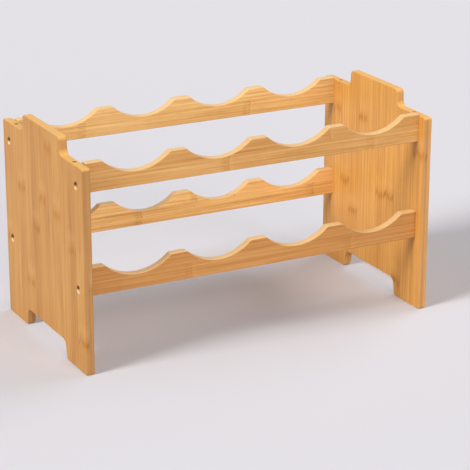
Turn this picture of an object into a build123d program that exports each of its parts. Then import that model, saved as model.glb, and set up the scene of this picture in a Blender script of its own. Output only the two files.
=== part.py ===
from build123d import *
import os

os.makedirs("parts", exist_ok=True)

# A stackable bamboo wine rack: two side panels carry four scalloped rails, two at the front and two
# at the rear, so that each tier holds a row of bottles lying on their sides.
# Origin: the floor under the middle of the rack. +X runs along the rails, +Y to the rear, +Z up.

# Driving sizes, in millimetres

# Rails
bottle_places = 4  # scallops side by side on each rail
scallop_width = 80  # chord of a scallop at the crest
scallop_depth = 16
crest_width = 20  # flat between two scallops and at each end
crest_corner_radius = 5
rail_height = 33
rail_thickness = 10
rail_setback = 12  # from the panel's front or rear edge to the rail

# Side panels
panel_thickness = 10
rack_depth = 226
tier_names = ("lower", "upper")
tier_pitch = 118  # height from one tier of rails to the next, also across stacked racks
crest_rise = 2  # how far the top rails stand above the panel's shoulders
tab_height = 20
tab_base_width = 107
tab_top_width = 103
tab_corner_radius = 5
tab_root_radius = 7
notch_root_radius = 8
notch_mouth_radius = 4  # clears the tab root of the rack below
shoulder_corner_radius = 3
foot_corner_radius = 2
edge_radius = 1  # eased edges of panels and rails

# Stacking: the tab of one rack enters the notch of the rack above it
notch_mouth_gap = 5  # on each side of the tab's base
notch_root_gap = 3  # on each side of the tab's top
notch_top_gap = 1
stack_hole_diameter = 5  # holds a stacking pin in the shoulder
stack_hole_depth = 14
foot_hole_clearance = 0.25  # radial, so that the foot of the rack above slips over the pin

# Screws: countersunk, one into each end of each rail
screw_diameter = 3.5
screw_length = 40
screw_tip_length = 4
screw_point_diameter = 0.6
screw_head_diameter = 7
screw_head_recess = 3.5  # from the panel's outer face down to the head
recess_mouth_chamfer = 1
driver_cross_width = 1.1
driver_cross_share = 0.75  # depth of the driver cross as a share of the head's height
screw_clearance = 0.2  # radial, in the panel
pilot_clearance = 0.05  # radial, in the rail
pilot_end_room = 1

# Dowels: hidden, beside each screw, so that a rail can't turn
dowel_diameter = 6
dowel_length = 20
dowel_in_panel = 5
dowel_below_crest = 10
dowel_chamfer = 0.6
dowel_clearance = 0.05  # radial
dowel_end_room = 0.5

# Sizes that follow from those

rail_length = bottle_places * scallop_width + (bottle_places + 1) * crest_width
scallop_radius = (scallop_width**2 / 4 + scallop_depth**2) / (2 * scallop_depth)
scallop_centre_height = rail_height - scallop_depth + scallop_radius
rack_width = rail_length + 2 * panel_thickness
shoulder_height = len(tier_names) * tier_pitch
tab_top = shoulder_height + tab_height
notch_height = tab_height + notch_top_gap
notch_mouth_width = tab_base_width + 2 * notch_mouth_gap
notch_root_width = tab_top_width + 2 * notch_root_gap
rail_offset = rack_depth / 2 - rail_setback - rail_thickness / 2
top_rail_base = shoulder_height + crest_rise - rail_height
stack_hole_offset = (rack_depth + tab_base_width) / 4  # middle of a shoulder

screw_height = (rail_height - scallop_depth) / 2  # middle of the web under a scallop
screw_head_height = (screw_head_diameter - screw_diameter) / 2
screw_hole_radius = screw_diameter / 2 + screw_clearance
head_hole_radius = screw_head_diameter / 2 + screw_clearance
pilot_radius = screw_diameter / 2 + pilot_clearance
pilot_depth = screw_head_recess + screw_length - panel_thickness + pilot_end_room
dowel_height = rail_height - dowel_below_crest
dowel_hole_radius = dowel_diameter / 2 + dowel_clearance
dowel_in_rail = dowel_length - dowel_in_panel

sides = {"left": -1, "right": 1}
rows = {"front": -rail_offset, "rear": rail_offset}
tiers = {name: top_rail_base - i * tier_pitch for i, name in enumerate(reversed(tier_names))}


def joint_plane(side, distance, y, z):
    """A plane square to the rails, at a distance from the middle, facing out of the rack."""
    return Plane(origin=(side * distance, y, z), x_dir=(0, 1, 0), z_dir=(side, 0, 0))


def rail_ends(height):
    """The places on a panel that lie a height above the base of each rail."""
    return [(y, base + height) for y in rows.values() for base in tiers.values()]


def make_panel(side):
    """A side panel with a tab on top, a notch below, and holes for screws, dowels and stacking pins."""
    outer = rack_width / 2
    inner = outer - panel_thickness
    middle = side * (outer + inner) / 2
    corner_radii = {
        (notch_root_width / 2, notch_height): notch_root_radius,
        (notch_mouth_width / 2, 0): notch_mouth_radius,
        (rack_depth / 2, 0): foot_corner_radius,
        (rack_depth / 2, shoulder_height): shoulder_corner_radius,
        (tab_base_width / 2, shoulder_height): tab_root_radius,
        (tab_top_width / 2, tab_top): tab_corner_radius,
    }
    half_outline = [(0, notch_height), *corner_radii, (0, tab_top)]
    with BuildPart() as panel:
        with BuildSketch(Plane.YZ.offset(middle)):
            with BuildLine():
                half = FilletPolyline(*half_outline, radius=corner_radii.values())
                mirror(half, about=Plane.YZ)
            make_face()
        extrude(amount=panel_thickness / 2, both=True)
        broad_faces = panel.faces().filter_by(Axis.X).sort_by(Axis.X)
        fillet(broad_faces[0].edges() + broad_faces[-1].edges(), edge_radius)

        seats = [joint_plane(side, outer - screw_head_recess, *end) for end in rail_ends(screw_height)]
        with Locations(*seats):
            CounterSinkHole(screw_hole_radius, head_hole_radius, panel_thickness, 90)
        mouths = panel.faces().filter_by(Axis.X).sort_by(Axis.X)[-1 if side > 0 else 0].inner_wires()
        chamfer(mouths.edges(), recess_mouth_chamfer)

        sockets = [joint_plane(-side, -inner, *end) for end in rail_ends(dowel_height)]
        with Locations(*sockets):
            Hole(dowel_hole_radius, dowel_in_panel + dowel_end_room)

        for y in (-stack_hole_offset, stack_hole_offset):
            with Locations(Plane((middle, y, shoulder_height))):
                Hole(stack_hole_diameter / 2, stack_hole_depth)
            with Locations(Plane((middle, y, 0), z_dir=(0, 0, -1))):
                Hole(stack_hole_diameter / 2 + foot_hole_clearance, stack_hole_depth)
    return panel.part


def make_rail(y, base):
    """A rail with a row of scallops along its top, and a screw pilot and a dowel hole in each end."""
    with BuildPart() as rail:
        with BuildSketch(Plane.XZ.offset(-y)) as outline:
            with Locations((0, base)):
                Rectangle(rail_length, rail_height, align=(Align.CENTER, Align.MIN))
            with Locations((0, base + scallop_centre_height)):
                with GridLocations(scallop_width + crest_width, 1, bottle_places, 1):
                    Circle(scallop_radius, mode=Mode.SUBTRACT)
            crest_corners = outline.vertices().group_by(Axis.Y)[-1].sort_by(Axis.X)[1:-1]
            fillet(crest_corners, crest_corner_radius)
        extrude(amount=rail_thickness / 2, both=True)
        broad_faces = rail.faces().filter_by(Axis.Y)
        fillet(broad_faces.edges().filter_by(Axis.Z, reverse=True), edge_radius)

        for side in sides.values():
            with Locations(joint_plane(side, rail_length / 2, y, base + screw_height)):
                Hole(pilot_radius, pilot_depth)
            with Locations(joint_plane(side, rail_length / 2, y, base + dowel_height)):
                Hole(dowel_hole_radius, dowel_in_rail + dowel_end_room)
    return rail.part


def make_screw(side, y, z):
    """A countersunk wood screw that runs through a panel into the end of a rail."""
    head_top = joint_plane(side, rack_width / 2 - screw_head_recess, y, z)
    along = Plane(head_top.origin, x_dir=(0, 1, 0), z_dir=(0, 0, -side))
    with BuildPart() as screw:
        with BuildSketch(along):
            with BuildLine():
                Polyline(
                    (0, 0),
                    (screw_head_diameter / 2, 0),
                    (screw_diameter / 2, -screw_head_height),
                    (screw_diameter / 2, screw_tip_length - screw_length),
                    (screw_point_diameter / 2, -screw_length),
                    (0, -screw_length),
                    close=True,
                )
            make_face()
        revolve(axis=Axis(head_top.origin, head_top.z_dir))
        with BuildSketch(head_top):
            Rectangle(screw_diameter, driver_cross_width)
            Rectangle(driver_cross_width, screw_diameter)
        extrude(amount=-driver_cross_share * screw_head_height, mode=Mode.SUBTRACT)
    return screw.part


def make_dowel(side, y, z):
    """A plain dowel, part in the panel and part in the rail."""
    with BuildPart() as dowel:
        with BuildSketch(joint_plane(side, rail_length / 2 + dowel_in_panel, y, z)):
            Circle(dowel_diameter / 2)
        extrude(amount=-dowel_length)
        chamfer(dowel.edges().filter_by(GeomType.CIRCLE), dowel_chamfer)
    return dowel.part


pieces = {}
for side_name, side in sides.items():
    pieces[f"{side_name}_panel"] = make_panel(side)
for row_name, y in rows.items():
    for tier_name, base in tiers.items():
        place = f"{row_name}_{tier_name}"
        pieces[f"{place}_rail"] = make_rail(y, base)
        for side_name, side in sides.items():
            pieces[f"screw_{place}_{side_name}"] = make_screw(side, y, base + screw_height)
            pieces[f"dowel_{place}_{side_name}"] = make_dowel(side, y, base + dowel_height)

for name, piece in pieces.items():
    piece.label = name
    export_step(piece, f"parts/{name}.step")
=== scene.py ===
# %% [markdown]
# # A stackable bamboo wine rack
# Two side panels carry four scalloped rails, and bottles lie across a front and a rear rail, in two
# tiers. The frame already holds every board, screw and dowel at its real size. This lesson dresses it:
# it gives the boards the grain, glue lines and knuckles of laminated bamboo, and makes the rails, screws
# and dowels anew with detail that the frame leaves out. Blender works in metres, but furniture is drawn
# in millimetres, so sizes below are written in millimetres and turned into metres where they are used.

# %% Load the frame
import math

import bpy
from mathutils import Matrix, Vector


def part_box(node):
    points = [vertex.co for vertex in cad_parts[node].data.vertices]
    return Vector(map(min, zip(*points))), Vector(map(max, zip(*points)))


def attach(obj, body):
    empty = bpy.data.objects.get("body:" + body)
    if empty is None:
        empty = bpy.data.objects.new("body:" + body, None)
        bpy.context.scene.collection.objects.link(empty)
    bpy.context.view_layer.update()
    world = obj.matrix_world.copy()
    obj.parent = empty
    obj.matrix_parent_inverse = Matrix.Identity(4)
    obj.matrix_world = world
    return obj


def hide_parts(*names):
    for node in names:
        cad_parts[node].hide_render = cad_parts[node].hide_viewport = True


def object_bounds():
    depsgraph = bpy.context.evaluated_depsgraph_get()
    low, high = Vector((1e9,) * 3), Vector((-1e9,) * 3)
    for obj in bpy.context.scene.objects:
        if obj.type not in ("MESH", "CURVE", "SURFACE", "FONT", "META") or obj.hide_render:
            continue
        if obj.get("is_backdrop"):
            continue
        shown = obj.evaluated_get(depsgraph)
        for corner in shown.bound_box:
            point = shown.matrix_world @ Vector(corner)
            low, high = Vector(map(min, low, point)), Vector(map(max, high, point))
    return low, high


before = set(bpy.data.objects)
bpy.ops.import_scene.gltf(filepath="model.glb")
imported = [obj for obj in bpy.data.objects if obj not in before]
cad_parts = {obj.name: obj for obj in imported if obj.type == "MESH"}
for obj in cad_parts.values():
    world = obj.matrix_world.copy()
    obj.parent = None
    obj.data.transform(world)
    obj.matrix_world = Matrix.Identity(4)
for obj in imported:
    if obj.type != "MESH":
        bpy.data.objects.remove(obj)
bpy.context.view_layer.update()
MM = 0.001


def in_mm(lengths):
    """Lengths in metres as rounded millimetres, to print."""
    return [round(length / MM, 2) for length in lengths]


# %% [markdown]
# Materials and generated shapes are both node trees here, and a long tree is hard to read when every
# node and every link takes a line of its own. A small helper class keeps a formula on one line: it adds
# a node, fills its sockets in order, and links a socket where it is given another node's output instead
# of a number.


# %% A helper that writes node trees
class Sketch:
    """Adds nodes to one tree and joins them, so that a formula reads like ordinary Python."""

    def __init__(self, tree):
        self.tree = tree

    def fill(self, socket, value):
        if isinstance(value, bpy.types.NodeSocket):
            self.tree.links.new(value, socket)
        elif value is not None:
            socket.default_value = value

    def add(self, kind, *values, sockets=None, **settings):
        """A new node, its sockets filled in order from values and by name from sockets."""
        node = self.tree.nodes.new(kind)
        for setting, value in settings.items():
            setattr(node, setting, value)
        for place, value in [*enumerate(values), *(sockets or {}).items()]:
            self.fill(node.inputs[place], value)
        return node

    def math(self, operation, *values):
        return self.add("ShaderNodeMath", *values, operation=operation).outputs[0]

    def vector(self, operation, *values):
        return self.add("ShaderNodeVectorMath", *values, operation=operation).outputs[0]

    def scaled(self, vector, factor):
        """A vector times one number."""
        result = self.vector("SCALE", vector)
        self.fill(result.node.inputs["Scale"], factor)
        return result

    def total(self, *values):
        """The sum of any number of sockets."""
        result = values[0]
        for value in values[1:]:
            result = self.math("ADD", result, value)
        return result

    def fade(self, value, start, end, low=0.0, high=1.0):
        """A smooth step from low to high as value goes from start to end."""
        limits = (start, end, low, high)
        node = self.add("ShaderNodeMapRange", value, *limits, interpolation_type="SMOOTHSTEP")
        return node.outputs[0]

    def near(self, value, width):
        """One where value is zero, falling smoothly to nothing at a width to each side."""
        return self.fade(self.math("ABSOLUTE", value), 0.0, width, 1.0, 0.0)

    def spread(self, value, strength):
        """Noise centred on zero, times a strength."""
        return self.math("MULTIPLY", self.math("SUBTRACT", value, 0.5), strength)

    def tint(self, colour, other, share, blend="MIX"):
        """A colour taken some way towards another."""
        node = self.tree.nodes.new("ShaderNodeMix")
        node.data_type = "RGBA"
        node.blend_type = blend
        for place, value in ((0, share), (6, colour), (7, other)):
            self.fill(node.inputs[place], value)
        return node.outputs[2]


def new_material(name):
    """A material, the sketch of its tree and its shader."""
    material = bpy.data.materials.new(name)
    material.use_nodes = True
    return material, Sketch(material.node_tree), material.node_tree.nodes["Principled BSDF"]


def raise_skin(s, shader, strength, distance, height):
    """Gives a shader a bump from a height, at most a distance in millimetres high."""
    relief = {"Strength": strength, "Distance": distance * MM, "Height": height}
    s.fill(shader.inputs["Normal"], s.add("ShaderNodeBump", sockets=relief).outputs["Normal"])


print("helpers ready")

# %% [markdown]
# Laminated bamboo is glued up from strips about 20 mm wide and 5 mm thick, each planed from the wall of
# a culm. Every strip has its own tone, long fine fibres, and a knuckle where the culm had a joint: a
# broken band of short dark dashes with a pale zone beside it. A picture of bamboo would be the quick
# way. A solid pattern is better: it is worked out from the place inside the board, so that a fibre that
# runs along the face comes out as a speck on the end of the board, and a scallop cuts through the strips
# as a saw would.

# %% Bamboo: where a point lies in its board
STRIP_LAYER = 5.0
LAYER_OFFSET = 0.45  # how far a layer is set over, as a share of the strip's width


def board_position(s, board, axes):
    """Millimetres along the grain, across the strips and through the layers, and the board's length."""
    low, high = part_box(board)
    from_corner = s.vector("SUBTRACT", s.add("ShaderNodeTexCoord").outputs["Object"], tuple(low))
    parts = s.add("ShaderNodeSeparateXYZ", s.scaled(from_corner, 1 / MM)).outputs
    length = (high - low)["XYZ".index(axes[0])] / MM
    return [parts[axis] for axis in axes], length


def strips(s, across, depth, width, seed):
    """A point's strip and layer, how far across the strip it is, and two random tones of the strip."""
    layer = s.math("FLOOR", s.math("DIVIDE", depth, STRIP_LAYER))
    set_over = s.math("MULTIPLY_ADD", layer, LAYER_OFFSET * width, across)
    shifted = s.math("DIVIDE", set_over, width)
    strip = s.math("FLOOR", shifted)
    label = s.add("ShaderNodeCombineXYZ", strip, layer, seed).outputs[0]
    tones = s.add("ShaderNodeTexWhiteNoise", label, noise_dimensions="3D").outputs
    tone, other_tone, _ = s.add("ShaderNodeSeparateColor", tones["Color"]).outputs
    return strip, layer, s.math("FRACT", shifted), tone, other_tone


def streaks(s, place, sizes, detail=2.0, roughness=0.5):
    """Noise whose blobs measure about sizes, in millimetres along, across and through the board."""
    stretched = s.vector("DIVIDE", place, sizes)
    look = {"Vector": stretched, "Scale": 1.0, "Detail": detail, "Roughness": roughness}
    return s.add("ShaderNodeTexNoise", sockets=look).outputs[0]


print("layers of", STRIP_LAYER, "mm")

# %% [markdown]
# Where a strip crosses a joint of the culm, its fibres are cut short. On the broad face of a panel that
# shows as a short row of dark dashes. On a narrow rail it is a thin line from edge to edge, shaded on
# one side and pale on the other. Each strip carries its own knuckle at its own place, so a ramp with
# hard steps, read by the number of the strip, gives the place.

# %% Bamboo: knuckles
NOWHERE = 2.0  # in lengths of the board, where a strip without a knuckle has it
RAGGED_SIZE = (200.0, 4.0, 4.0)
WAVE_SIZE = (200.0, 6.0, 6.0)
DASH_SIZE = (60.0, 2.0, 2.0)
SHORT_FIBRES = (14.0, 1.6, 1.6)
DASHED = {
    "wander": 18.0,
    "dashes": 7.0,
    "gaps": (0.40, 0.58),
    "shade": 14.0,
    "shade share": 0.18,
    "pale": 12.0,
    "pale place": 15.0,
    "pale share": 0.35,
}
RINGED = {
    "wander": 5.0,
    "line": 1.4,
    "gaps": (0.42, 0.58, 0.20, 0.65),
    "shade": 8.0,
    "shade place": -4.0,
    "fibres": (0.40, 0.62, 0.05, 0.40),
    "pale": 4.0,
    "pale place": 4.0,
    "pale share": 0.2,
}


def knuckle_distance(s, along, strip, layer, places, length):
    """Millimetres from a point to the knuckle of its strip, along the grain."""
    count = len(places)
    mirrored = s.math("SUBTRACT", count - 1, strip)
    number = s.add("ShaderNodeMix", layer, sockets={2: strip, 3: mirrored}).outputs[0]
    ramp = s.add("ShaderNodeValToRGB", s.math("DIVIDE", s.math("ADD", number, 0.5), count))
    stops = ramp.color_ramp.elements
    ramp.color_ramp.interpolation = "CONSTANT"
    for index, place in enumerate(places):
        share = (NOWHERE * length if place is None else place) / (NOWHERE * length)
        stop = stops.new(index / count) if index > 1 else stops[index]
        stop.position = index / count
        stop.color = (share, share, share, 1.0)
    return s.math("SUBTRACT", along, s.math("MULTIPLY", ramp.outputs["Color"], NOWHERE * length))


def dashed_knuckle(s, place, distance):
    """How dark a point is in a row of short dashes along the grain, and how pale just beyond them."""
    wander = s.spread(streaks(s, place, RAGGED_SIZE, detail=1.0), DASHED["wander"])
    ragged = s.math("ADD", distance, wander)
    dashes = s.fade(streaks(s, place, DASH_SIZE, detail=1.0), *DASHED["gaps"])
    dark = s.math("MULTIPLY", s.near(ragged, DASHED["dashes"]), dashes)
    shade = s.math("MULTIPLY", s.near(ragged, DASHED["shade"]), DASHED["shade share"])
    pale = s.near(s.math("SUBTRACT", ragged, DASHED["pale place"]), DASHED["pale"])
    return s.math("MAXIMUM", dark, shade), s.math("MULTIPLY", pale, DASHED["pale share"])


def ringed_knuckle(s, place, distance):
    """How dark a point is in a thin line across the grain, and how pale just beyond the line."""
    wander = s.spread(streaks(s, place, WAVE_SIZE, detail=1.0), RINGED["wander"])
    wavy = s.math("ADD", distance, wander)
    broken = s.fade(streaks(s, place, RAGGED_SIZE, detail=1.0), *RINGED["gaps"])
    line = s.math("MULTIPLY", s.near(wavy, RINGED["line"]), broken)
    fibres = s.fade(streaks(s, place, SHORT_FIBRES, detail=1.0), *RINGED["fibres"])
    beside = s.near(s.math("SUBTRACT", wavy, RINGED["shade place"]), RINGED["shade"])
    shade = s.math("MULTIPLY", beside, fibres)
    pale = s.near(s.math("SUBTRACT", wavy, RINGED["pale place"]), RINGED["pale"])
    return s.math("MAXIMUM", line, shade), s.math("MULTIPLY", pale, RINGED["pale share"])


print("knuckles of", DASHED["dashes"], "mm on the panels and", RINGED["line"], "mm on the rails")

# %% [markdown]
# Under the lacquer the wood runs from brown to pale honey. A ramp holds those colours, and each board
# tints it a little, because no two boards are glued up from the same culms, and also as painted light:
# the rear rails are painted lighter against the shade of the front rails, and the left panel darker
# against the key. The glue lines between strips and layers are hair-thin. Narrow faces show cut fibres,
# which look greyer than a planed broad face. The tops get a painted highlight, paler where light from
# above falls on them and paler still on the lower rails, against the shade of the panels. Upright edges
# get painted shade and are a little darker.

# %% Bamboo: colours, glue lines and cut faces
HONEY = (
    (0.00, (0.430, 0.165, 0.028)),
    (0.35, (0.635, 0.285, 0.062)),
    (0.65, (0.755, 0.375, 0.098)),
    (1.00, (0.850, 0.490, 0.165)),
)
# the colour of glue lines and pores, and of the painted shade on upright edges
DARK_GLUE_AND_EDGE_SHADE = (0.330, 0.135, 0.025, 1.0)
CUT_SIDE = (0.895, 0.935, 1.350, 1.0)
# painted highlight: tops painted paler where light from above falls, lower rails' tops paler still for
# the panels' shade
PAINTED_TOP_HIGHLIGHT = {
    "panel": (0.785, 0.432, 0.110, 1.0),
    "upper_rail": (0.785, 0.520, 0.230, 1.0),
    "lower_rail": (0.890, 0.585, 0.270, 1.0),
}
STRIP_SEAM = 0.35
LAYER_SEAM = 0.3
SEAM_SHARE = 0.6  # how strong a line between strips is at most, next to one between layers
TOP_HIGHLIGHT_SHARE = 0.85
# how strong the painted shade on upright edges is
ARRIS_SHADE_SHARE = 1.6


def honey(s, tones, tint):
    """The colour of the wood for tones from nothing to one, with the tint of one board."""
    ramp = s.add("ShaderNodeValToRGB", tones)
    stops = ramp.color_ramp.elements
    for index, (place, colour) in enumerate(HONEY):
        between = 0 < index < len(HONEY) - 1
        stop = stops.new(place) if between else stops[0 if index == 0 else -1]
        stop.position = place
        stop.color = [channel * share for channel, share in zip(colour, tint)] + [1.0]
    return ramp.outputs["Color"]


def glue_lines(s, across_strip, strip_width, tone, depth):
    """One on the lines between layers, less on those between strips, and nothing elsewhere."""
    to_edge = s.math("MINIMUM", across_strip, s.math("SUBTRACT", 1.0, across_strip))
    seam = s.fade(s.math("MULTIPLY", to_edge, strip_width), 0.0, STRIP_SEAM, 1.0, 0.0)
    seam = s.math("MULTIPLY", seam, s.math("MULTIPLY", tone, SEAM_SHARE))
    return s.math("MAXIMUM", seam, s.near(s.math("SUBTRACT", depth, STRIP_LAYER), LAYER_SEAM))


def facing(s):
    """Which way the surface faces, as its three parts."""
    return s.add("ShaderNodeSeparateXYZ", s.add("ShaderNodeTexCoord").outputs["Normal"]).outputs


def cut_faces(s, colour, board, through):
    """Wood colour: narrow faces greyer, a painted highlight on tops, painted shade on upright edges."""
    normal = facing(s)
    flat = s.math("POWER", normal[through], 2.0)
    cut = s.math("SUBTRACT", 1.0, flat)
    upward = s.math("MAXIMUM", normal["Z"], 0.0)
    sideways = s.math("MULTIPLY", cut, s.math("SUBTRACT", 1.0, upward))
    colour = s.tint(colour, CUT_SIDE, sideways, "MULTIPLY")
    # painted highlight on the tops
    top = next(pale for kind, pale in PAINTED_TOP_HIGHLIGHT.items() if board.endswith(kind))
    colour = s.tint(colour, top, s.math("MULTIPLY", upward, TOP_HIGHLIGHT_SHARE))
    # painted shade darkens the upright edges
    upright = s.math("SUBTRACT", 1.0, s.math("POWER", normal["Z"], 2.0))
    shaded_arris = s.math("MULTIPLY", s.math("MULTIPLY", flat, cut), s.math("POWER", upright, 2.0))
    return s.tint(colour, DARK_GLUE_AND_EDGE_SHADE, s.math("MULTIPLY", shaded_arris, ARRIS_SHADE_SHARE))


print(len(HONEY), "honey tones and", len(PAINTED_TOP_HIGHLIGHT), "kinds of top")

# %% [markdown]
# The screw recesses carry painted light: painted shade turns their walls brown, and a painted highlight
# makes the lower lip, which faces up, pale. The recesses could be painted one by one, but they lie where
# the screws are, and the frame knows that: two rails high and two rails deep. So a point is in a recess
# when it is close to one of the four lines that run through the screws.

# %% Bamboo: screw recesses
# painted light in the screw recesses: painted shade on the walls, a painted highlight on the lower lip
RECESS_SHADE = (0.190, 0.075, 0.018, 1.0)
LIP_HIGHLIGHT = (0.900, 0.600, 0.310, 1.0)
RECESS_RADIUS = 4.8
RECESS_LIGHT_SHARE = 0.85
LIP_FACING = 0.6  # the upward part of the direction in which a lip faces


def joint_grid(kind):
    """The grid that carries a kind of fastener, measured on the frame."""
    ends = [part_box(node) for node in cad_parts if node.startswith(kind + "_")]
    middles = [(low + high) / 2 for low, high in ends]
    heights = [middle.z for middle in middles]
    rows = [middle.y for middle in middles]
    return {
        "Tier Pitch": max(heights) - min(heights),
        "Row Spacing": max(rows) - min(rows),
        "Mid Height": (max(heights) + min(heights)) / 2,
        "Half Width": max(high.x for low, high in ends),
    }


def in_recess(s):
    """One in the recess of a screw, nothing elsewhere."""
    grid = joint_grid("screw")
    _, y, z = s.add("ShaderNodeSeparateXYZ", s.add("ShaderNodeTexCoord").outputs["Object"]).outputs
    off_row = s.math("SUBTRACT", s.math("ABSOLUTE", y), grid["Row Spacing"] / 2)
    off_middle = s.math("ABSOLUTE", s.math("SUBTRACT", z, grid["Mid Height"]))
    off_tier = s.math("SUBTRACT", off_middle, grid["Tier Pitch"] / 2)
    squares = s.math("ADD", s.math("POWER", off_row, 2.0), s.math("POWER", off_tier, 2.0))
    return s.math("LESS_THAN", s.math("SQRT", squares), RECESS_RADIUS * MM)


def painted_recess_light(s, colour, bare):
    """Wood colour with painted shade in the recesses and a painted highlight on their lower lips."""
    # walls that face down get painted shade, walls that face up a painted highlight
    lit_and_shaded_wall = s.tint(RECESS_SHADE, LIP_HIGHLIGHT, s.fade(facing(s)["Z"], 0.0, LIP_FACING))
    return s.tint(colour, lit_and_shaded_wall, s.math("MULTIPLY", bare, RECESS_LIGHT_SHARE))


GRID_NAMES = list(joint_grid("screw"))
print("screws on a grid of", dict(zip(GRID_NAMES, in_mm(joint_grid("screw").values()))), "mm")

# %% [markdown]
# The finish is a clear satin lacquer: it deepens the honey colour and leaves the fibres just to be felt.
# So the same noise that colours the fibres also gives the bump and varies the roughness. Four things
# make up the tone of a point: its strip, broad streaks, fine fibres and wide clouds. How much each of
# them counts is the grain of a board. The vessels are short dark pores along the grain. Pores, knuckles
# and glue lines are darker than the rest and lie a little lower.

# %% Bamboo: the finish
KNUCKLE_BROWN = (0.385, 0.142, 0.014, 1.0)
PALE_STRAW = (0.830, 0.520, 0.190, 1.0)
STRIP_SHIFT = 900.0  # along the grain, at most, so that no two strips share their fibres
FIBRE_SIZE = (60.0, 0.8, 0.8)
CLOUD_SIZE = (110.0, 28.0, 28.0)
VESSEL_SIZE = (14.0, 0.42, 0.42)
STREAK_LENGTH = 170.0
VESSEL_LIMITS = (0.60, 0.72)
SHARES = {"vessels": 0.35, "pale": 0.25, "dark": 0.95, "seams": 0.5}
HOLLOWS = {"vessels": -0.8, "marks": -0.6, "seams": -0.7}
SATIN = {"roughness": 0.43, "duller": 0.12, "fibres": 0.18, "specular": 0.3}


def bamboo(board, axes, strip_width, grain, courses, knuckle, seed, tint):
    """Laminated bamboo with a clear satin lacquer, its grain along the first of the board's axes."""
    material, s, shader = new_material("bamboo_" + board)
    (along, across, depth), length = board_position(s, board, axes)
    strip, layer, across_strip, tone, other_tone = strips(s, across, depth, strip_width, seed)
    shifted_along = s.math("MULTIPLY_ADD", tone, STRIP_SHIFT, along)
    place = s.add("ShaderNodeCombineXYZ", shifted_along, across, depth).outputs[0]

    fine = streaks(s, place, FIBRE_SIZE, detail=3.0, roughness=0.6)
    broad = streaks(s, place, (STREAK_LENGTH, grain["width"], grain["width"]))
    cloud = streaks(s, place, CLOUD_SIZE)
    parts = {"strips": tone, "streaks": broad, "fibres": fine, "clouds": cloud}
    tones = s.total(0.5, *[s.spread(noise, grain[part]) for part, noise in parts.items()])
    colour = honey(s, tones, tint)
    vessels = s.fade(streaks(s, place, VESSEL_SIZE, detail=1.0), *VESSEL_LIMITS)
    colour = s.tint(colour, DARK_GLUE_AND_EDGE_SHADE, s.math("MULTIPLY", vessels, SHARES["vessels"]))
    marks = 0.0
    for course in courses:
        distance = knuckle_distance(s, along, strip, layer, course, length)
        dark, pale = knuckle(s, place, distance)
        colour = s.tint(colour, PALE_STRAW, s.math("MULTIPLY", pale, SHARES["pale"]))
        colour = s.tint(colour, KNUCKLE_BROWN, s.math("MULTIPLY", dark, SHARES["dark"]))
        marks = s.math("MAXIMUM", marks, dark)
    seams = glue_lines(s, across_strip, strip_width, other_tone, depth)
    colour = s.tint(colour, DARK_GLUE_AND_EDGE_SHADE, s.math("MULTIPLY", seams, SHARES["seams"]))
    bare = in_recess(s)
    # painted shade and painted highlight in the screw recesses
    colour = painted_recess_light(s, cut_faces(s, colour, board, axes[2]), bare)
    s.fill(shader.inputs["Base Color"], colour)

    shader.inputs["Specular IOR Level"].default_value = SATIN["specular"]
    dull = [s.math("MULTIPLY", part, SATIN["duller"]) for part in (marks, seams, bare)]
    rough = s.total(SATIN["roughness"], *dull)
    s.fill(shader.inputs["Roughness"], s.math("ADD", rough, s.spread(fine, SATIN["fibres"])))
    sunk = {"vessels": vessels, "marks": marks, "seams": seams}
    hollows = [s.math("MULTIPLY", part, HOLLOWS[kind]) for kind, part in sunk.items()]
    raise_skin(s, shader, strength=0.35, distance=0.12, height=s.total(fine, *hollows))
    return material


# board tones with painted light: rear rails lighter for the front rails' shade, left panel darker for
# the key
BOARD_TONES_AND_LIGHT = {
    "left_panel": (0.69, 0.68, 0.61),
    "right_panel": (0.89, 0.88, 0.80),
    "front_upper_rail": (0.81, 0.86, 1.07),
    "front_lower_rail": (0.68, 0.62, 0.63),
    "rear_upper_rail": (1.04, 1.24, 1.75),
    "rear_lower_rail": (1.24, 1.47, 2.07),
}
print("finish ready for", len(BOARD_TONES_AND_LIGHT), "boards")

# %% [markdown]
# The panels keep the frame's own meshes, because their outline, recesses and stacking holes are right
# already, and only get their finish. Their grain is upright. The left one has broad streaks and clouds
# and the right one finer streaks, as two boards from one stack would. The heights of the knuckles are
# listed strip by strip, from the front edge to the rear, with None for a strip that has no knuckle. That
# is the layer on the left. The layer on the right takes the same list from the rear.

# %% Panels: their finish
PANEL_STRIP = 20.5
PANEL_AXES = ("Z", "Y", "X")
PANEL_GRAIN = {
    "left_panel": {"width": 4.5, "streaks": 0.85, "fibres": 0.60, "strips": 0.32, "clouds": 0.60},
    "right_panel": {"width": 3.0, "streaks": 1.05, "fibres": 0.42, "strips": 0.12, "clouds": 0.20},
}
panel_knuckles = {
    "left_panel": [35, 134, None, 164, 234, 170, 131, 60, 167, None, 96],
    "right_panel": [189, None, 19, 121, 117, None, 204, 78, 114, 201, None],
}
for seed, (panel, heights) in enumerate(panel_knuckles.items()):
    figure = (PANEL_STRIP, PANEL_GRAIN[panel], [heights], dashed_knuckle)
    finish = bamboo(panel, PANEL_AXES, *figure, 3.0 + seed, BOARD_TONES_AND_LIGHT[panel])
    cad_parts[panel].material_slots[0].material = finish
    print(panel, "has", sum(height is not None for height in heights), "knuckles in a layer")

# %% [markdown]
# A rail is a plain batten with a row of scallops cut into its top. It could be cut with a Boolean for
# each bottle, but its shape follows a rule, so Geometry Nodes can state the rule itself: a rounded
# rectangle is drawn along a line, and the upper half of the result is lowered by the depth of the
# scallop at that place. The lower half stays straight, and the eased edges follow the scallops because
# they're lowered with them.

# %% Rails: the scallop rule
RAIL_STEP = 0.5


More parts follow.
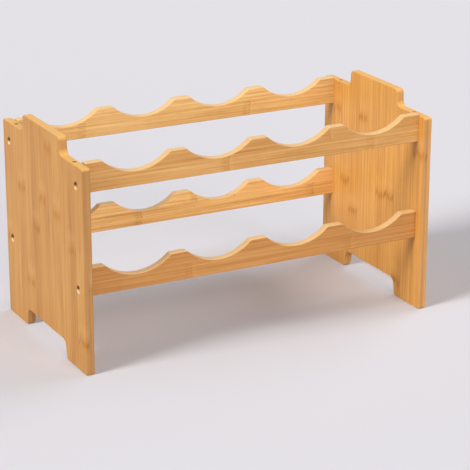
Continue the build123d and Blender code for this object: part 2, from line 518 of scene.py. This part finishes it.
def scallop_drop(s, x, size):
    """How far the top of the rail lies below its crests at a place x along the rail."""
    pitch = s.math("ADD", size["Scallop Width"], size["Crest Width"])
    half_width = s.math("MULTIPLY", size["Scallop Width"], 0.5)
    depth, corner = size["Scallop Depth"], size["Corner Radius"]
    squares = [s.math("MULTIPLY", side, side) for side in (half_width, depth)]
    radius = s.math("DIVIDE", s.total(*squares), s.math("MULTIPLY", depth, 2.0))
    centre_rise = s.math("SUBTRACT", radius, depth)

    shifted = s.math("ADD", x, s.math("MULTIPLY", size["Length"], 0.5))
    shifted = s.math("SUBTRACT", shifted, s.math("MULTIPLY", size["Crest Width"], 0.5))
    in_pitch = s.math("FLOORED_MODULO", shifted, pitch)
    across = s.math("ABSOLUTE", s.math("SUBTRACT", in_pitch, s.math("MULTIPLY", pitch, 0.5)))

    reach = s.math("ADD", radius, corner)
    rise = s.math("ADD", centre_rise, corner)
    squares = s.math("SUBTRACT", s.math("POWER", reach, 2.0), s.math("POWER", rise, 2.0))
    corner_x = s.math("SQRT", squares)
    touch_x = s.math("DIVIDE", s.math("MULTIPLY", corner_x, radius), reach)

    def arc(arc_radius, offset):
        inside = s.math("SUBTRACT", s.math("POWER", arc_radius, 2.0), s.math("POWER", offset, 2.0))
        return s.math("SQRT", s.math("MAXIMUM", inside, 0.0))

    in_scallop = s.math("SUBTRACT", arc(radius, across), centre_rise)
    from_corner = s.math("SUBTRACT", corner_x, across)
    on_corner = s.math("SUBTRACT", corner, arc(corner, from_corner))
    past_touch = s.math("GREATER_THAN", across, touch_x)
    past_corner = s.math("LESS_THAN", across, corner_x)
    drop = s.add("ShaderNodeMix", past_touch, sockets={2: in_scallop, 3: on_corner}).outputs[0]
    return s.math("MULTIPLY", drop, past_corner)


print("scallop rule ready, with a step of", RAIL_STEP, "mm")

# %% [markdown]
# A tree takes its sizes as named inputs, so the same tree can make any piece of the kind. All trees end
# alike: copies become real meshes, the edges that are really sharp are marked, and the material is set.
# The result is kept as a plain mesh that needs no modifier, because only plain meshes are handed on.

# %% Trees: how they start and end
SHARP_ANGLE = math.radians(35)


def new_tree(name, numbers, vectors=()):
    """An empty Geometry Nodes tree and the sockets that give its inputs."""
    tree = bpy.data.node_groups.new(name, "GeometryNodeTree")
    tree.interface.new_socket("Geometry", in_out="OUTPUT", socket_type="NodeSocketGeometry")
    kinds = dict.fromkeys(numbers, "NodeSocketFloat") | dict.fromkeys(vectors, "NodeSocketVector")
    for label, kind in (kinds | {"Finish": "NodeSocketMaterial"}).items():
        tree.interface.new_socket(label, in_out="INPUT", socket_type=kind)
    s = Sketch(tree)
    size = {socket.name: socket for socket in s.add("NodeGroupInput").outputs}
    return s, size


def close_tree(s, geometry, finish):
    """Ends a tree: real meshes in place of instances, smooth but for sharp edges, with its material."""
    shade = "GeometryNodeSetShadeSmooth"
    geometry = s.add("GeometryNodeRealizeInstances", geometry).outputs[0]
    geometry = s.add(shade, geometry, sockets={"Shade Smooth": True}).outputs[0]
    sharp = s.math("GREATER_THAN", s.add("GeometryNodeInputMeshEdgeAngle").outputs[0], SHARP_ANGLE)
    geometry = s.add(shade, geometry, sharp, sockets={"Shade Smooth": False}, domain="EDGE").outputs[0]
    geometry = s.add("GeometryNodeSetMaterial", geometry, sockets={"Material": finish}).outputs[0]
    s.add("NodeGroupOutput", geometry)
    return s.tree


def in_metres(sizes):
    """Named sizes in millimetres as the metres that a tree takes."""
    return {name: size * MM for name, size in sizes.items()}


def grow(name, tree, values):
    """Runs a tree once and keeps what it makes as a plain mesh, in an object at the origin."""
    holder = bpy.data.objects.new(name + "_holder", bpy.data.meshes.new(name + "_holder"))
    bpy.context.scene.collection.objects.link(holder)
    modifier = holder.modifiers.new("Shape", "NODES")
    modifier.node_group = tree
    for socket in tree.interface.items_tree:
        if socket.in_out == "INPUT":
            modifier[socket.identifier] = values[socket.name]
    holder.modifiers.new("Flat faces stay flat", "WEIGHTED_NORMAL").keep_sharp = True
    evaluated = holder.evaluated_get(bpy.context.evaluated_depsgraph_get())
    mesh = bpy.data.meshes.new_from_object(evaluated)
    bpy.data.objects.remove(holder)
    mesh.name = name
    piece = bpy.data.objects.new(name, mesh)
    bpy.context.scene.collection.objects.link(piece)
    print(name, in_mm(piece.dimensions), "mm,", len(mesh.polygons), "faces")
    return piece


print("edges sharper than", round(math.degrees(SHARP_ANGLE)), "degrees stay sharp")

# %% [markdown]
# The batten gets its scallops first. Then come the blind holes in both ends, a pilot for the screw and
# one for the dowel, cut with a Boolean, because a hole in a flat end follows no simple rule of height.

# %% Rails: the tree
HOLE_SIDES = 32
EDGE_STEPS = 4
QUARTER_TURN = math.radians(90)
CUT = {"operation": "DIFFERENCE", "solver": "MANIFOLD"}


def blind_holes(s, size, kind):
    """A rod on each end of the rail, half of it inside, at a height above the rail's base."""
    rods = s.add("GeometryNodeJoinGeometry")
    depth = s.math("MULTIPLY", size[kind + " Depth"], 2.0)
    shape = {"Vertices": HOLE_SIDES, "Radius": size[kind + " Radius"], "Depth": depth}
    rod = s.add("GeometryNodeMeshCylinder", sockets=shape).outputs["Mesh"]
    for side in (-0.5, 0.5):
        end = s.math("MULTIPLY", size["Length"], side)
        at = s.add("ShaderNodeCombineXYZ", end, 0.0, size[kind + " Height"]).outputs[0]
        pose = {"Translation": at, "Rotation": (0.0, QUARTER_TURN, 0.0)}
        placed = s.add("GeometryNodeTransform", rod, sockets=pose).outputs[0]
        s.tree.links.new(placed, rods.inputs[0])
    return rods.outputs[0]


def rail_tree():
    """A rail that stands on the origin, along X, moved to its place at the end."""
    outline = ["Length", "Height", "Thickness", "Edge Radius"]
    scallops = ["Scallop Width", "Scallop Depth", "Crest Width", "Corner Radius"]
    kinds = ("Pilot", "Dowel Hole")
    holes = [kind + part for kind in kinds for part in (" Radius", " Depth", " Height")]
    s, size = new_tree("Scalloped rail", outline + scallops + holes, ["Place"])
    half_length = s.math("MULTIPLY", size["Length"], 0.5)
    start = s.add("ShaderNodeCombineXYZ", s.math("MULTIPLY", half_length, -1.0)).outputs[0]
    end = s.add("ShaderNodeCombineXYZ", half_length).outputs[0]
    line = s.add("GeometryNodeCurvePrimitiveLine", start, end).outputs[0]
    step = {"Length": RAIL_STEP * MM}
    line = s.add("GeometryNodeResampleCurve", line, sockets=step, mode="LENGTH").outputs[0]
    line = s.add("GeometryNodeSetCurveNormal", line, mode="Z_UP").outputs[0]

    sides = {"Width": size["Thickness"], "Height": size["Height"]}
    section = s.add("GeometryNodeCurvePrimitiveQuadrilateral", sockets=sides).outputs[0]
    eased = {"Count": EDGE_STEPS, "Radius": size["Edge Radius"]}
    section = s.add("GeometryNodeFilletCurve", section, sockets=eased, mode="POLY").outputs[0]
    sweep = {"Curve": line, "Profile Curve": section, "Fill Caps": True}
    batten = s.add("GeometryNodeCurveToMesh", sockets=sweep).outputs[0]

    x, _, z = s.add("ShaderNodeSeparateXYZ", s.add("GeometryNodeInputPosition").outputs[0]).outputs
    upper_half = s.math("GREATER_THAN", z, 0.0)
    drop = s.math("MULTIPLY", scallop_drop(s, x, size), upper_half)
    rise = s.math("SUBTRACT", s.math("MULTIPLY", size["Height"], 0.5), drop)
    offset = s.add("ShaderNodeCombineXYZ", 0.0, 0.0, rise).outputs[0]
    rail = s.add("GeometryNodeSetPosition", batten, sockets={"Offset": offset}).outputs[0]
    for kind in kinds:
        rail = s.add("GeometryNodeMeshBoolean", rail, blind_holes(s, size, kind), **CUT).outputs[0]
    rail = s.add("GeometryNodeTransform", rail, sockets={"Translation": size["Place"]}).outputs[0]
    return close_tree(s, rail, size["Finish"])


scalloped_rail = rail_tree()
print("rail tree:", len(scalloped_rail.nodes), "nodes")

# %% [markdown]
# The frame's own boxes give each rail's place and size, and the boxes of its screw and dowel give the
# heights of the holes. Only the sizes that no box shows are written here. A rail shows two strips, one
# above the other, and each pair of numbers below is how far a knuckle on the lower and on the upper one
# lies from the left end.

# %% Rails: four of them
RAIL_STRIP = 18.5
RAIL_AXES = ("X", "Z", "Y")
RAIL_GRAIN = {"width": 2.6, "streaks": 1.30, "fibres": 0.60, "strips": 0.22, "clouds": 0.45}
rail_shape = {
    "Scallop Width": 80,
    "Scallop Depth": 16,
    "Crest Width": 20,
    "Corner Radius": 5,
    "Edge Radius": 1,
    "Pilot Radius": 1.8,
    "Pilot Depth": 34.5,
    "Dowel Hole Radius": 3.05,
    "Dowel Hole Depth": 15.5,
}
rail_knuckles = {
    "front_upper": [[171, 60], [358, 300]],
    "front_lower": [[124, 258], [330, None]],
    "rear_upper": [[82, 266], [300, None]],
    "rear_lower": [[153, 228], [391, 280]],
}
for seed, (place, courses) in enumerate(rail_knuckles.items()):
    board = place + "_rail"
    low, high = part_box(board)
    pilot_low, pilot_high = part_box(f"screw_{place}_left")
    dowel_low, dowel_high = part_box(f"dowel_{place}_left")
    values = in_metres(rail_shape)
    values |= {"Length": high.x - low.x, "Height": high.z - low.z, "Thickness": high.y - low.y}
    values["Pilot Height"] = (pilot_low.z + pilot_high.z) / 2 - low.z
    values["Dowel Hole Height"] = (dowel_low.z + dowel_high.z) / 2 - low.z
    values["Place"] = (0.0, (low.y + high.y) / 2, low.z)
    figure = (RAIL_STRIP, RAIL_GRAIN, courses, ringed_knuckle)
    values["Finish"] = bamboo(board, RAIL_AXES, *figure, 20.0 + seed, BOARD_TONES_AND_LIGHT[board])
    rail = grow(place + "_scalloped_rail", scalloped_rail, values)
    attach(rail, "root")
    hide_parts(board)

# %% [markdown]
# Eight countersunk screws hold the rails, sunk into the panels so that only their heads show, deep in
# the holes. They repeat, so one screw is made and set on the corners of a grid: two rails high and two
# rails deep. The same grid, turned to face left or right, serves both panels, and it carries the dowels
# too. Each copy is spun by a random angle, as a driver would leave it.


# %% Joints: a grid on each panel
def at_each_joint(s, piece, size, seed):
    """Copies of a piece that points down from the origin, set into both panels at the rails' ends."""
    spans = {"Size X": size["Tier Pitch"], "Size Y": size["Row Spacing"]}
    corners = {"Vertices X": 2, "Vertices Y": 2}
    grid = s.add("GeometryNodeMeshGrid", sockets=spans | corners).outputs["Mesh"]
    turn = s.add("FunctionNodeRandomValue", sockets={"Seed": seed})
    turn.data_type = "FLOAT"
    turn.inputs["Max"].default_value = math.tau
    spin = s.add("ShaderNodeCombineXYZ", 0.0, 0.0, turn.outputs["Value"]).outputs[0]
    copy = {"Instance": piece, "Rotation": spin}
    copies = s.add("GeometryNodeInstanceOnPoints", grid, sockets=copy).outputs[0]
    both = s.add("GeometryNodeJoinGeometry")
    for side in (-1.0, 1.0):
        reach = s.math("MULTIPLY", size["Half Width"], side)
        at = s.add("ShaderNodeCombineXYZ", reach, 0.0, size["Mid Height"]).outputs[0]
        pose = {"Translation": at, "Rotation": (0.0, side * QUARTER_TURN, 0.0)}
        placed = s.add("GeometryNodeTransform", copies, sockets=pose).outputs[0]
        s.tree.links.new(placed, both.inputs[0])
    return both.outputs[0]


def turned(s, length, step, sides):
    """A closed rod of radius one that hangs from the origin, with a point's angle and depth on it."""
    end = s.add("ShaderNodeCombineXYZ", 0.0, 0.0, s.math("MULTIPLY", length, -1.0)).outputs[0]
    line = s.add("GeometryNodeCurvePrimitiveLine", (0.0, 0.0, 0.0), end).outputs[0]
    steps = {"Length": step * MM}
    line = s.add("GeometryNodeResampleCurve", line, sockets=steps, mode="LENGTH").outputs[0]
    ring = {"Resolution": sides, "Radius": 1.0}
    circle = s.add("GeometryNodeCurvePrimitiveCircle", sockets=ring).outputs[0]
    sweep = {"Curve": line, "Profile Curve": circle, "Fill Caps": True}
    rod = s.add("GeometryNodeCurveToMesh", sockets=sweep).outputs[0]
    x, y, z = s.add("ShaderNodeSeparateXYZ", s.add("GeometryNodeInputPosition").outputs[0]).outputs
    return rod, s.math("ARCTAN2", y, x), s.math("MULTIPLY", z, -1.0)


def with_radius(s, rod, radius):
    """The rod with a radius of its own at each point."""
    place = s.add("GeometryNodeInputPosition").outputs[0]
    outwards = s.scaled(s.vector("MULTIPLY", place, (1.0, 1.0, 0.0)), radius)
    shape = s.vector("ADD", outwards, s.vector("MULTIPLY", place, (0.0, 0.0, 1.0)))
    return s.add("GeometryNodeSetPosition", rod, sockets={"Position": shape}).outputs[0]


print("dowels on a grid of", dict(zip(GRID_NAMES, in_mm(joint_grid("dowel").values()))), "mm")

# %% [markdown]
# A wood screw is one turned shape: a flat head that tapers to the shank, then a thread that winds down
# to the point. A helix swept with a triangle would pass through the shank and leave faces inside it.
# Instead a rod takes its radius from a formula, which is widest on the crest of the thread, so the skin
# stays whole. The driver cross is cut into the head with two small blocks.

# %% Screws: the tree
SCREW_STEP = 0.25
SCREW_SIDES = 28
PLAIN_SHANK = 0.86  # as a share of the thread's radius
POINT_SHARE = 0.12  # what is left of the shank at the point
THREAD_START = 3.0  # in heights of the head, from its top
CROSS_REACH = 1.05  # as a share of the head's radius


def screw_radius(s, size, angle, down):
    """The radius of a screw at an angle and a depth below its head."""
    turns = s.math("SUBTRACT", s.math("DIVIDE", down, size["Pitch"]), s.math("DIVIDE", angle, math.tau))
    crest = s.fade(s.math("PINGPONG", turns, 0.5), 0.18, 0.5)
    height = s.math("SUBTRACT", size["Thread Radius"], size["Core Radius"])
    thread = s.math("ADD", size["Core Radius"], s.math("MULTIPLY", height, crest))
    thread_start = s.math("MULTIPLY", size["Head Height"], THREAD_START)
    threaded = s.fade(down, thread_start, s.math("ADD", thread_start, size["Pitch"]))
    plain = s.math("MULTIPLY", size["Thread Radius"], PLAIN_SHANK)
    shank = s.add("ShaderNodeMix", threaded, sockets={2: plain, 3: thread}).outputs[0]
    to_point = s.math("DIVIDE", s.math("SUBTRACT", size["Length"], down), size["Tip Length"])
    to_point = s.math("MAXIMUM", s.math("MINIMUM", to_point, 1.0), POINT_SHARE)
    head = s.math("SUBTRACT", size["Head Radius"], down)
    return s.math("MAXIMUM", s.math("MULTIPLY", shank, to_point), head)


def screw_tree():
    """Countersunk screws at all joints."""
    shank = ["Length", "Thread Radius", "Core Radius", "Pitch", "Tip Length"]
    head = ["Head Radius", "Head Height", "Cross Width", "Cross Depth"]
    s, size = new_tree("Countersunk screw", GRID_NAMES + shank + head)
    rod, angle, down = turned(s, size["Length"], SCREW_STEP, SCREW_SIDES)
    screw = with_radius(s, rod, screw_radius(s, size, angle, down))
    wide = size["Cross Width"]
    long = s.math("MULTIPLY", size["Head Radius"], CROSS_REACH)
    deep = s.math("MULTIPLY", size["Cross Depth"], 2.0)
    for block_x, block_y in ((long, wide), (wide, long)):
        sides = s.add("ShaderNodeCombineXYZ", block_x, block_y, deep).outputs[0]
        block = s.add("GeometryNodeMeshCube", sides).outputs["Mesh"]
        screw = s.add("GeometryNodeMeshBoolean", screw, block, **CUT).outputs[0]
    return close_tree(s, at_each_joint(s, screw, size, 4), size["Finish"])


countersunk_screw = screw_tree()
print("screw tree:", len(countersunk_screw.nodes), "nodes")

# %% [markdown]
# The screws are steel with a yellow zinc plate, a thin bright film whose colour drifts from straw to
# faint pink. Driving leaves fine scuffs on the head, so the roughness carries a noise as well as the
# colour.

# %% Screws: finish and mesh
STRAW_FILM = (0.62, 0.49, 0.24, 1.0)
ROSE_FILM = (0.58, 0.40, 0.27, 1.0)


def yellow_zinc():
    """Bright zinc plate on steel, with drifting colour and fine scuffs."""
    material, s, shader = new_material("yellow_zinc_steel")
    place = s.scaled(s.add("ShaderNodeTexCoord").outputs["Object"], 1 / MM)
    drift = {"Vector": place, "Scale": 0.35, "Detail": 2.0}
    film = s.add("ShaderNodeTexNoise", sockets=drift).outputs[0]
    fine = {"Vector": place, "Scale": 3.0, "Detail": 4.0}
    scuffs = s.add("ShaderNodeTexNoise", sockets=fine).outputs[0]
    s.fill(shader.inputs["Base Color"], s.tint(STRAW_FILM, ROSE_FILM, s.fade(film, 0.35, 0.65)))
    s.fill(shader.inputs["Roughness"], s.math("MULTIPLY_ADD", scuffs, 0.35, 0.15))
    raise_skin(s, shader, strength=0.2, distance=0.05, height=scuffs)
    shader.inputs["Metallic"].default_value = 1.0
    return material


screw_size = {
    "Length": 40,
    "Thread Radius": 1.75,
    "Core Radius": 1.15,
    "Pitch": 1.6,
    "Tip Length": 4.5,
    "Head Radius": 3.5,
    "Head Height": 1.75,
    "Cross Width": 1.1,
    "Cross Depth": 1.3,
}
values = in_metres(screw_size) | joint_grid("screw") | {"Finish": yellow_zinc()}
screws = grow("rail_screws", countersunk_screw, values)
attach(screws, "root")
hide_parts(*[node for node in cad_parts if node.startswith("screw_")])

# %% [markdown]
# Beside each screw a hidden dowel keeps the rail from turning. Real dowels are fluted, so that glue can
# spread and air can leave the hole, and their ends are chamfered to start easily. Both come from the
# radius again. They are bare beech, a pale wood with short brown flecks.

# %% Dowels
FLUTES = 16
FLUTE_SIDES = 6
DOWEL_STEP = 0.3
PALE_BEECH = (0.66, 0.44, 0.25, 1.0)
BEECH_FLECK = (0.50, 0.30, 0.15, 1.0)
BEECH_GRAIN = (20.0, 0.5, 0.5)


def dowel_tree():
    """Fluted dowels at all joints."""
    s, size = new_tree("Fluted dowel", GRID_NAMES + ["Length", "Radius", "Chamfer", "Flute Depth"])
    rod, angle, down = turned(s, size["Length"], DOWEL_STEP, FLUTE_SIDES * FLUTES)
    flute = s.fade(s.math("COSINE", s.math("MULTIPLY", angle, float(FLUTES))), 0.2, 1.0)
    from_end = s.math("MINIMUM", down, s.math("SUBTRACT", size["Length"], down))
    chamfer = s.math("MAXIMUM", s.math("SUBTRACT", size["Chamfer"], from_end), 0.0)
    radius = s.math("SUBTRACT", size["Radius"], s.math("MULTIPLY", flute, size["Flute Depth"]))
    dowel = with_radius(s, rod, s.math("SUBTRACT", radius, chamfer))
    return close_tree(s, at_each_joint(s, dowel, size, 9), size["Finish"])


def beech():
    """Bare beech, its grain along the dowels."""
    material, s, shader = new_material("bare_beech")
    place = s.scaled(s.add("ShaderNodeTexCoord").outputs["Object"], 1 / MM)
    grain = streaks(s, place, BEECH_GRAIN, detail=3.0)
    s.fill(shader.inputs["Base Color"], s.tint(PALE_BEECH, BEECH_FLECK, s.fade(grain, 0.35, 0.7)))
    s.fill(shader.inputs["Roughness"], s.math("MULTIPLY_ADD", grain, 0.2, 0.55))
    raise_skin(s, shader, strength=0.3, distance=0.1, height=grain)
    return material


dowel_size = {"Length": 20, "Radius": 3, "Chamfer": 0.6, "Flute Depth": 0.25}
values = in_metres(dowel_size) | joint_grid("dowel") | {"Finish": beech()}
dowels = grow("rail_dowels", dowel_tree(), values)
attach(dowels, "root")
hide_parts(*[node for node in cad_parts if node.startswith("dowel_")])

# %% [markdown]
# The rack stands in a studio. A broad key on the left throws the shadow of the left panel under the
# rails. A low lamp in front lights the faces of the rails, a soft one on the right keeps the floor
# beyond the rack light, and the world fills the rest. Area lamps would light the floor unevenly. Suns
# give the same level everywhere, so a big plain floor shows no falloff.

# %% Lamps
WORLD_LEVEL = 0.27
LAMPS = {
    "key": {"from": (-0.845, -0.105, 0.52), "level": 0.94, "angle": 21},
    "front": {"from": (0.02, -0.95, 0.31), "level": 0.61, "angle": 40},
    "right": {"from": (0.76, 0.15, 0.63), "level": 0.34, "angle": 45},
}
floor_light = WORLD_LEVEL
for name, lamp in LAMPS.items():
    towards = Vector(lamp["from"])
    floor_light += lamp["level"] * towards.normalized().z
    sun = bpy.data.lights.new(name, "SUN")
    sun.energy = lamp["level"] * math.pi
    sun.angle = math.radians(lamp["angle"])
    sun_object = bpy.data.objects.new(name, sun)
    sun_object.rotation_euler = towards.to_track_quat("Z", "Y").to_euler()
    bpy.context.scene.collection.objects.link(sun_object)
bpy.context.scene.view_settings.view_transform = "Standard"
print("light on the open floor:", round(floor_light, 3))

# %% [markdown]
# The floor is pale and slightly violet, and so large that no edge is in sight. Its colour is divided by
# the light that falls on it, so that it renders as the tone written here. The world looks like the floor
# to the camera and in reflections, and is a plain white fill for everything else.

# %% Floor and world
STUDIO_PALE = (0.776, 0.759, 0.799, 1.0)
FLOOR_REACH = 30.0  # metres
sides = (-FLOOR_REACH, FLOOR_REACH)
floor_mesh = bpy.data.meshes.new("floor")
floor_mesh.from_pydata([(x, y, 0.0) for y in sides for x in sides], [], [(0, 1, 3, 2)])
floor = bpy.data.objects.new("floor", floor_mesh)
bpy.context.scene.collection.objects.link(floor)
floor_paint, _, floor_shader = new_material("pale_floor")
floor_colour = [channel / floor_light for channel in STUDIO_PALE[:3]]
floor_shader.inputs["Base Color"].default_value = floor_colour + [1.0]
floor_shader.inputs["Roughness"].default_value = 0.9
floor_shader.inputs["Specular IOR Level"].default_value = 0.0
floor_mesh.materials.append(floor_paint)
floor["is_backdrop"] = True

world = bpy.data.worlds.new("studio")
world.use_nodes = True
bpy.context.scene.world = world
s = Sketch(world.node_tree)
path = s.add("ShaderNodeLightPath").outputs
mirrored = s.math("MAXIMUM", path["Is Glossy Ray"], path["Is Transmission Ray"])
seen = s.math("MAXIMUM", path["Is Camera Ray"], mirrored)
fill_white = (WORLD_LEVEL, WORLD_LEVEL, WORLD_LEVEL, 1.0)
background = world.node_tree.nodes["Background"]
s.fill(background.inputs["Color"], s.tint(fill_white, STUDIO_PALE, seen))
print("floor colour", [round(channel, 3) for channel in floor_colour])

# %% [markdown]
# The camera stands to the front left, a little above the rack, with a long lens. Its place and lens come
# from fitting a pinhole camera to the edges of the boards.

# %% Camera
camera_data = bpy.data.cameras.new("camera")
camera_data.lens = 145.53
camera_data.sensor_width = 36.0
camera = bpy.data.objects.new("camera", camera_data)
camera.location = (-0.9707, -1.8751, 0.8282)
camera.rotation_euler = [math.radians(angle) for angle in (70.80, -0.07, -27.889)]
bpy.context.scene.collection.objects.link(camera)
bpy.context.scene.camera = camera

# %% [markdown]
# Last, the box of the dressed rack is printed.

# %% Size of the dressed rack
low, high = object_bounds()
print("visual box", in_mm(high - low), "mm")
